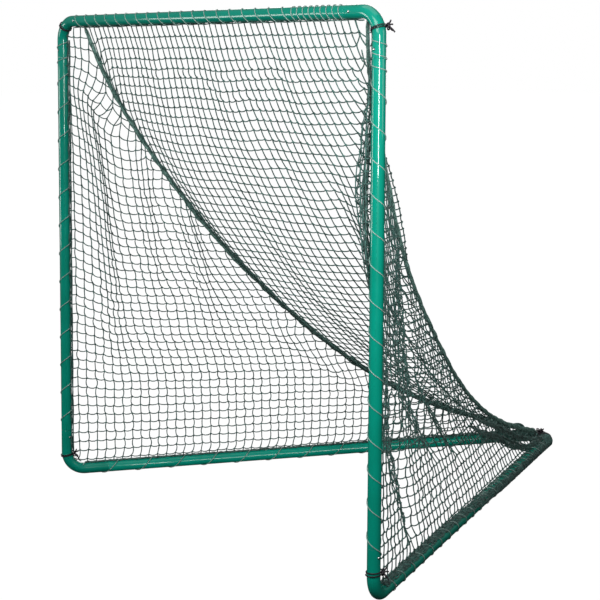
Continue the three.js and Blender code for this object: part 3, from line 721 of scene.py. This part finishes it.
def side_rows(heights, seam, pleats, count):
    """Rows of a side panel as curves from the post to the seam, in distances along, inward and up.

    A row at height V runs at v = r + (V - r)(1 - 0.05 u) - 0.135 ease(V / 1.5) ease(u / 0.25). The panel
    leans in by its edge times (v / top)^q, plus its pleats, each h(v) exp(-((u - c(v)) / spread)^2).
    """
    along, inward = (seam - rail_corner) @ rail_along, (seam - rail_corner) @ rail_inward
    edge_u = np.concatenate([[-0.02, 0.0, 0.028], along])
    edge_b = np.concatenate([[0.0, 0.0, 0.45 * inward[0]], inward])
    edge_v = np.concatenate([[bar_z - rail_z - 0.024] * 3, seam[:, 2] - rail_z])
    u_all = np.linspace(0.0, edge_u[-1], 900)
    rise = heights[:, None]
    fade = ease(rise / 1.5) * ease((1.86 - rise) / 0.25)
    v_all = border_reach + (rise - border_reach) * (1 - 0.05 * u_all) - 0.135 * ease(u_all / 0.25) * fade
    v_all = v_all + 0.003 * np.sin(u_all * 19 + rise * 5) * fade
    below = v_all < np.interp(u_all, edge_u, edge_v) - 0.004
    end = np.where(below.all(1), len(u_all) - 1, np.argmin(below, 1))
    u = u_all[end][:, None] * np.linspace(0, 1, count)
    v = np.stack([np.interp(u[r], u_all, v_all[r]) for r in range(len(heights))])
    share = np.clip(v / np.interp(u, edge_u, edge_v), 0, 1)
    lean = np.interp(u, edge_u, edge_b) * share ** (1 + 3 * np.exp(-u / 0.1))
    for spread, marks in pleats:
        at, centre, height = np.array(marks).T
        along = np.exp(-(((u - np.interp(v, at, centre)) / spread) ** 2))
        lean = lean + np.interp(v, at, height) * along * ease(u / 0.04) * ease((1 - share) / 0.06)
    return u, v, lean, (edge_u, edge_b, edge_v)


def side_weave(side, pleats):
    """Knots and threads of one side panel, rows counted from the rail, columns from the post."""
    heights = np.arange(0.040, 1.83, mesh_size)
    u, v, lean, (edge_u, edge_b, edge_v) = side_rows(heights, seams[side], pleats, 240)
    curves = rail_corner + rail_along * u[..., None] + rail_inward * lean[..., None]
    curves[..., 2] = rail_z + v
    post = (route_s > bend_ends[0][0]) & (route_s < bend_ends[1][1])
    place, _, towards, _ = on_route(np.interp(-(heights + rail_z), -route_place[post, 2], route_s[post]))
    curves[:, 0] = place + border_reach * towards

    def to_rail(knots, row):
        """Places on the upper inner side of the rail under the knots of the first row."""
        at = (knots - rail_corner) @ rail_along
        place, _, towards, third = on_route(leg_end(1, at, True))
        tips = place + border_reach * (towards * math.cos(border_angle) + third * math.sin(border_angle))
        return np.where((row > 0)[:, None], np.nan, tips)

    def to_seam(knots, row):
        """Places on the panel's upper edge over the knots."""
        at = (knots - rail_corner) @ rail_along
        tips = rail_corner + rail_along * at[:, None] + rail_inward * np.interp(at, edge_u, edge_b)[:, None]
        tips[:, 2] = rail_z + np.interp(at, edge_u, edge_v)
        return tips

    pitch = mesh_size * 0.95 * np.exp(-(0.10 if side > 0 else 0.01) * heights * (1 + heights))
    places, *chains = woven(curves, 0.8 * pitch, pitch, 0, 90, to_rail, to_seam)
    return places * [side, 1, 1], *chains


# Four pleats stand in from each side panel, where its spare cloth is caught. Each has half its width,
# then marks of height over the rail, distance from the post and depth.
side_pleats = {
    1: [
        (0.04, [
            (0.75, 0.10, 0), (0.94, 0.09, 0.035), (1.1, 0.08, 0.062), (1.3, 0.08, 0.078),
            (1.5, 0.06, 0.045), (1.7, 0.03, 0),
        ]),
        (0.04, [
            (0.25, 0.75, 0), (0.35, 0.68, 0.05), (0.53, 0.54, 0.065), (0.78, 0.535, 0.06),
            (1.0, 0.545, 0.03), (1.1, 0.55, 0),
        ]),
        (0.04, [(0.2, 1.0, 0), (0.29, 0.936, 0.045), (0.42, 0.82, 0.05), (0.56, 0.67, 0.03), (0.65, 0.6, 0)]),
        (0.04, [(0.05, 0.4, 0), (0.12, 0.38, 0.03), (0.3, 0.326, 0.05), (0.475, 0.25, 0.05), (0.75, 0.2, 0)]),
    ],
    -1: [
        (0.024, [
            (0.35, 0.23, 0), (0.59, 0.206, 0.05), (1.27, 0.124, 0.095), (1.53, 0.074, 0.09), (1.72, 0.03, 0),
        ]),
        (0.022, [
            (0.7, 0.37, 0), (0.84, 0.36, 0.035), (1.035, 0.338, 0.05), (1.183, 0.318, 0.06),
            (1.315, 0.30, 0.055), (1.4, 0.28, 0),
        ]),
        (0.026, [
            (0.55, 0.61, 0), (0.71, 0.575, 0.04), (0.877, 0.545, 0.065), (0.972, 0.513, 0.075),
            (1.072, 0.483, 0.07), (1.2, 0.44, 0),
        ]),
        (0.036, [
            (0.2, 1.45, 0), (0.293, 1.305, 0.04), (0.425, 1.08, 0.05), (0.568, 0.878, 0.045), (0.66, 0.8, 0),
        ]),
    ],
}
side_words = {1: "right", -1: "left"}


def loose_edge():
    """A row of half meshes left outside the right seam and tied to it, with their knots at seam + out e.

    e = 26 mm sin(pi t)^0.6, t going from end to end.
    """
    place, s = seam_curve(600, 1)
    begin, end = (np.interp(-high - rail_z, -place[:, 2], s) for high in (1.42, 1.0))
    at = np.arange(begin, end, 0.8 * mesh_size)
    share = (at - begin) / (end - begin)
    held = read_off(at, s, place)
    out = unit(np.array([0.2, 1.0, 0.1])) * 0.026 * np.sin(math.pi * share)[:, None] ** 0.6
    count = len(at)
    places = np.vstack([held + out, held])
    ties = np.stack([np.arange(count), np.arange(count) + count], -1)
    along = twine(places, np.arange(count)[None], np.array([0.0, 1.0, 0.3]), 1.1, 0.03, 11)
    return [along, twine(places, ties, np.array([0.1, 0.2, 1.0]), 1.0, 0.0, 12), knots_at(places[:count], 13)]


for side, label in side_words.items():
    weave = side_weave(side, side_pleats[side])
    extra = loose_edge() if side > 0 else ()
    net_panel(f"{label}_side_net_mesh", f"{label}_side_net", weave, 8, 20 + 5 * side, extra)


def round_tube(s, angle, reach, radius, sides):
    """Cords laid on the frame: place + reach (towards cos a + third sin a), each a row of s, a and reach."""
    place, _, towards, third = on_route(s)
    out = towards * np.cos(angle)[..., None] + third * np.sin(angle)[..., None]
    return round_skin(place + out * np.broadcast_to(reach, angle.shape)[..., None], out, radius, sides)


def border(begin, end, low, high, strands, lift, seed, swell=0.0, turned=0.0):
    """Strands of bunched net edge along the frame, each at its own angle and height over the steel.

    Strand k of n wanders about the angle low + (high - low) k / (n - 1) + turned t and the height
    lift + swell sin(pi share) by sine waves of its own, t easing from 0 to 1 over the middle third.
    """
    dice = np.random.default_rng(seed)
    s = np.linspace(begin, end, int((end - begin) / 0.012))
    phase, wave = dice.uniform(0, 6, (4, strands, 1)), dice.uniform(20, 75, (2, strands, 1))
    angle = np.linspace(low, high, strands)[:, None] + 0.08 * np.sin(s * wave[0] + phase[0])
    share = (s - begin) / (end - begin)
    angle = angle + 0.05 * np.sin(s * 2.3 * wave[0] + phase[1]) + turned * ease(3 * share - 1)
    lift = lift + swell * np.sin(math.pi * share)
    height = lift * (0.75 + 0.25 * np.sin(s * wave[1] + phase[2])) + twine_radius + 0.0004
    thick = twine_radius * (1 + 0.1 * np.sin(s * 160 + phase[3]))
    return round_tube(s + 0 * angle, angle, tube_radius + height, thick, 6)[:2]


def drawn_over(begin, end, low, high, pitch, lean, lift, seed, turned=0.0):
    """Threads of the net's edge drawn slanting over the tube from angle low to high, one at every pitch.

    Both angles turn by turned t, t easing from 0 to 1 over the middle third of the length, and a
    thread rises over the tube by lift sin(pi share)^0.3.
    """
    dice = np.random.default_rng(seed)
    s = np.arange(begin, end, pitch)[:, None]
    s = s + dice.normal(0, 0.002, s.shape)
    t = np.linspace(0, 1, 12)
    slant = lean + dice.normal(0, 0.004, s.shape)
    turn = turned * ease(3 * (s - begin) / (end - begin) - 1)
    angle = low + (high - low) * t + dice.normal(0, 0.05, s.shape) + turn
    reach = tube_radius + twine_radius + lift * np.sin(math.pi * t) ** 0.3 + 0.0006 * np.sin(9 * t + 40 * s)
    return round_tube(s + slant * t, angle, reach, twine_radius, 6)[:2]


def bunch(place, first, second, wide, thick, strands, lay, radius, seed):
    """Strands laid side by side in an oval, which turns once in every lay along the path.

    Strand k sits at the share sqrt((k + 1/2) / n) of the oval's size and the angle 2.4 k, so they fill it
    evenly, and both wander by sine waves of the strand's own lengths.
    """
    dice = np.random.default_rng(seed)
    length = np.concatenate([[0], np.cumsum(np.linalg.norm(np.diff(place, axis=0), axis=1))])
    phase, wave = dice.uniform(0, 6, (2, strands, 1)), dice.uniform(15, 60, (2, strands, 1))
    number = np.arange(strands)[:, None]
    angle = 2.4 * number + 2 * math.pi * length / lay + 0.5 * np.sin(length * wave[0] + phase[0])
    share = np.sqrt((number + 0.5) / strands) * (1 + 0.12 * np.sin(length * wave[1] + phase[1]))
    shift = first * (wide * share * np.cos(angle))[..., None]
    shift = shift + second * (thick * share * np.sin(angle))[..., None]
    return round_skin(place + shift, first, radius, 6)[:2]


def gathered(marks, wide, thick, strands, seed):
    """A flat bunch of twine along a smooth curve through the marks, wide upwards and thinner at both ends."""
    place, s = smooth_curve(marks, 60)
    heading = unit(np.gradient(place, axis=0))
    upward = square_to(np.array([[0.0, 0.0, 1.0]]), heading)
    full = 0.12 + 0.88 * ease(s / s[-1] / 0.45) * (1 - 0.6 * ease((s / s[-1] - 0.7) / 0.3))
    level = np.cross(heading, upward)
    return bunch(place, upward, level, wide * full, thick * full, strands, 0.7, twine_radius, seed)


def beside_rail(marks):
    """Places for marks that are given as distances along the right rail, inward from it and over it."""
    along, inward, up = np.array(marks).T[..., None]
    return rail_corner + rail_along * along + rail_inward * inward + [0, 0, 1] * up


# The net's edge is rolled up on the frame under the lacing: a few strands behind posts and crossbar, a
# flat roll over the top of both rails, where the right one slips to the outer side halfway, and a
# thicker bunch round the rear elbow. Threads are drawn over the rolls by every turn of the cord.
degree = math.pi / 180
edges = [border(bend_ends[4][1] - route_length, bend_ends[0][0], -25 * degree, 30 * degree, 4, 0.003, 31)]
for begin, end, seed in ((bend_ends[0][1], bend_ends[1][0], 32), (bend_ends[3][1], bend_ends[4][0], 39)):
    edges.append(border(begin, end, -30 * degree, 30 * degree, 4, 0.003, seed))
rolls = [
    (bend_ends[1][1], bend_ends[2][0], 12 * degree, 84 * degree, 78 * degree, 36),
    (bend_ends[2][1], bend_ends[3][0], 34 * degree, 100 * degree, 0.0, 39),
]
for begin, end, low, high, turned, seed in rolls:
    edges.append(border(begin, end, low, high, 9, 0.0006, seed, turned=turned))
    edges.append(drawn_over(begin + 0.03, end, low - 0.1, high + 0.1, 0.03, 0.03, 0.0025, seed + 2, turned))
begin, end = bend_ends[1][1], bend_ends[2][0]
edges.append(drawn_over(0.5 * (begin + end), end, -10 * degree, 95 * degree, 0.038, 0.02, 0.001, 37))
rear = sum(bend_ends[2]) / 2
edges.append(border(rear - 0.26, rear + 0.30, -60 * degree, 150 * degree, 16, 0.001, 41, 0.001))
edges.append(drawn_over(rear - 0.16, rear + 0.18, -110 * degree, 180 * degree, 0.014, 0.02, 0.003, 43))
edges.append(drawn_over(rear - 0.14, rear + 0.20, -110 * degree, 180 * degree, 0.014, -0.02, 0.0045, 44))

# Spare cloth that the lacing has caught: two gathered folds that run down to the rear end of the right
# rail, a bunch along the right post, and a small arch of twine in front of the rear elbow.
folds = [
    (0.019, 20, [
        [1.20, 0.074, 0.275], [1.30, 0.070, 0.233], [1.42, 0.063, 0.188], [1.55, 0.051, 0.137],
        [1.67, 0.037, 0.087], [1.80, 0.016, 0.045], [1.96, 0.0, 0.035],
    ]),
    (0.014, 16, [
        [1.27, 0.083, 0.292], [1.38, 0.081, 0.250], [1.50, 0.075, 0.207], [1.63, 0.064, 0.156],
        [1.79, 0.044, 0.090], [1.92, 0.020, 0.050], [2.02, 0.0, 0.038],
    ]),
]
for wide, strands, marks in folds:
    edges.append(gathered(beside_rail(marks), wide, 0.006, strands, 45 + strands))
crest = beside_rail([
    [0.010, 0.010, 1.80], [0.030, 0.020, 1.70], [0.050, 0.035, 1.58], [0.062, 0.055, 1.45],
    [0.075, 0.075, 1.30], [0.080, 0.065, 1.12], [0.090, 0.040, 0.95], [0.100, 0.020, 0.80],
])
edges.append(bunch(smooth_curve(crest, 90)[0], rail_along, rail_inward, 0.017, 0.010, 9, 0.45, 0.0018, 47))
arch = np.array([
    [-0.072, 0.80, 0.062], [-0.062, 0.82, 0.085], [-0.046, 0.835, 0.098], [-0.029, 0.85, 0.102],
    [-0.018, 0.865, 0.095], [-0.008, 0.875, 0.078], [0.009, 0.89, 0.058],
])
edges.append(gathered(arch, 0.005, 0.005, 7, 46))
add_piece("net_edges", edges, netting)

# Seam tapes: the borders of two panels gathered and stitched into one puckered rope of many strands,
# as wide as a thumb, that hangs slack from the crossbar to the rear elbow.
webbing = mottled_material(
    "gathered_border", (0.07, 0.155, 0.13), (0.21, 0.38, 0.33), 0.7, 90, 800, 0.0006
)
for side, label in side_words.items():
    place, s = seam_curve(260, side)
    place = place * [side, 1, 1]
    heading = unit(np.gradient(place, axis=0))
    drop = place[:, 2] - rail_z
    down = square_to(np.stack([0.5 * side * drop, 0 * drop, -drop - 0.01], -1), heading)
    pucker = 1 + 0.10 * np.sin(s * 105) + 0.08 * np.sin(s * 61 + 1) + 0.08 * np.sin(s * 27 + 2)
    close = np.clip(np.minimum(s, s[-1] - s) / 0.03, 0.2, 1) * (0.68 + 0.22 * ease(s / 1.2))
    wide, thick = 0.0115 * pucker * close, 0.0070 * pucker * close
    rope = bunch(place, down, np.cross(heading, down), wide, thick, 17, 0.24, 0.0025, 50 + side)
    add_piece(f"{label}_seam_band", [rope], webbing, f"{label}_seam_tape")

# Lacing: one glossy braided cord round each straight run, which takes up the net's border at every
# turn. Its turns are closer near the right end of the crossbar and the tops of the posts.
braid, inlet, outlet = new_group("braid", [("Pitch", amount)], [("Height", amount)])


def maths(operation, *values):
    """The output of a maths node of the braid, with each value or output in its own socket."""
    return new_node(braid, "Math", dict(enumerate(values)), operation=operation).outputs["Value"]


where = new_node(braid, "UVMap", {}, uv_map="along")
parts = new_node(braid, "SeparateXYZ", {"Vector": where.outputs["UV"]})
steps = maths("DIVIDE", parts.outputs["X"], inlet.outputs["Pitch"])
waves = []
for hand in (2, -2):
    lean = maths("MULTIPLY_ADD", parts.outputs["Y"], hand, steps)
    waves.append(maths("SINE", maths("MULTIPLY", lean, 2 * math.pi)))
set_sockets(outlet, {"Height": maths("MAXIMUM", *waves)})


def braided_material(name, deep, high, roughness, pitch, more=None):
    """A mottled material whose bump is a braid of two sets of strands that cross along the cord."""
    material = mottled_material(name, deep, high, roughness, 220, 900, 0.0004, more)
    tree = material.node_tree
    plait = new_node(tree, "Group", {"Pitch": pitch}, node_tree=braid)
    relief = new_node(tree, "Bump", {"Strength": 0.6, "Distance": 0.0005, "Height": plait.outputs["Height"]})
    set_sockets(tree.nodes["Principled BSDF"], {"Normal": relief.outputs["Normal"]})
    return material


lace = braided_material(
    "lacing_cord", (0.2, 0.33, 0.29), (0.38, 0.52, 0.48), 0.3, 0.006, {"Coat Weight": 0.4}
)
lace_radius = 0.0015


def laced(turn_marks, s_marks, hand, lift, edge, sway):
    """Cord wound round the tube, its turns from the first to the last mark, s running between the marks.

    It faces the net at each whole turn and rises by lift round the angle edge, over the net's border.
    It moves on by 1 - sway cos(2 pi turns), so it slants on the outer side and runs square at the net.
    """
    turns = np.linspace(turn_marks[0], turn_marks[-1], int((turn_marks[-1] - turn_marks[0]) * 32) + 1)
    angle = 2 * math.pi * turns * hand
    over = ease((np.cos(angle - edge) - 0.1) / 0.5)
    reach = tube_radius + 0.0003 + lace_radius + lift * over
    s = np.interp(turns - sway * np.sin(2 * math.pi * turns) / (2 * math.pi), turn_marks, s_marks)
    return round_tube(s[None], angle[None], reach, lace_radius, 8)


left_post_marks = [leg_end(3, 0.15, True), leg_end(4, 0.2, False), leg_end(4, 0.077, False)]
lacings = [
    ("crossbar", (0, 19, 28), (-0.85, 0.52, 0.78), 1, 0.003, 0, 0.8),
    ("right_post", (0, 3, 17), [leg_end(0, leg, True) for leg in (0.077, 0.195, 1.75)], -1, 0.003, 0, 0),
    ("right_rail", (0, 21), [leg_end(1, leg, True) for leg in (0.10, 2.05)], 1, 0.0036, 50 * degree, 0),
    ("left_rail", (0, 14), [leg_end(2, 0.18, True), leg_end(3, 0.06, False)], -1, 0.0036, 50 * degree, 0),
    ("left_post", (0, 13, 15), left_post_marks, 1, 0.003, 0, 0),
]
for label, *winding in lacings:
    add_piece(f"{label}_lacing_cord", [laced(*winding)], lace, f"{label}_lacing")

# Ties: a dark purplish cord wound twice round each bend at the mouth's corners and knotted in a bow,
# except at the top left, and a lashing of six turns on the rear elbow, over the gathered ends of net
# and seams.
tie_cord = braided_material("tie_cord", (0.006, 0.004, 0.007), (0.03, 0.022, 0.034), 0.45, 0.009)
tie_radius = 0.0021


def bow_knot(centre, out, side, size, seed):
    """A knot with two loops and two tails of cord, standing out from centre.

    The knot is a trefoil, (sin a + 2 sin 2a, cos a - 2 cos 2a, -sin 3a) size / 3. A loop goes out and
    back as sin(pi t) along and sin(2 pi t) across it, and a tail is a line that sinks by t^2.
    """
    dice = np.random.default_rng(seed)
    up = np.cross(out, side)
    t = np.linspace(0, 1, 61)[:, None]
    round_t = 2 * math.pi * t
    wide, tall = np.sin(round_t) + 2 * np.sin(2 * round_t), np.cos(round_t) - 2 * np.cos(2 * round_t)
    parts = [(side * wide + up * tall - out * np.sin(3 * round_t)) / 3]
    for sign in (1, -1):
        away = unit(out * 0.7 + sign * side + up * dice.uniform(-0.6, 0.8))
        parts.append(1.7 * away * np.sin(math.pi * t) + 0.6 * np.cross(away, out) * np.sin(round_t))
        away = unit(out * 0.8 + sign * side * 0.6 + up * dice.uniform(-0.9, 0.3))
        parts.append(2.0 * away * t - np.array([0, 0, 0.8]) * t**2)
    return round_skin(centre + size * np.stack(parts), out, 1.2 * tie_radius, 8)


def wound(middle, half, turns, rise):
    """Cord wound turns times round the tube from middle - half to middle + half, rise over the steel."""
    turn = np.linspace(0, turns, turns * 36 + 1)
    reach = tube_radius + rise + tie_radius + 0.0008 * np.sin(turn * 5)
    s = middle + half * (2 * turn / turns - 1)
    return round_tube(s[None], 2 * math.pi * turn[None], reach, tie_radius, 8)


knot_side = np.array([0.648, 0.762, 0.0])
ties = [
    ("top_right_tie", 0, 0.8, 0.005, 2, 0.0004, knot_side),
    ("bottom_right_tie", 1, -0.10, 0.010, 2, 0.0006, knot_side),
    ("rear_lashing", 2, 0.42, 0.030, 6, 0.0055, np.array([0.3, -0.3, 0.9])),
    ("bottom_left_tie", 3, 0.9, 0.005, 2, 0.0004, knot_side),
    ("top_left_tie", 4, 0.50, 0.008, 2, 0.0004, None),
]
for node, corner, part, half, turns, rise, knot_out in ties:
    begin, end = bend_ends[corner]
    middle = begin + (end - begin) * part
    cords = [wound(middle, half, turns, rise)]
    if knot_out is not None:
        place, heading, _, _ = at_point(middle)
        out = square_to(knot_out, heading)
        cords.append(bow_knot(place + out * (tube_radius + rise + 0.008), out, heading, 0.0115, 70 + corner))
    add_piece(f"{node}_cord", cords, tie_cord, node)
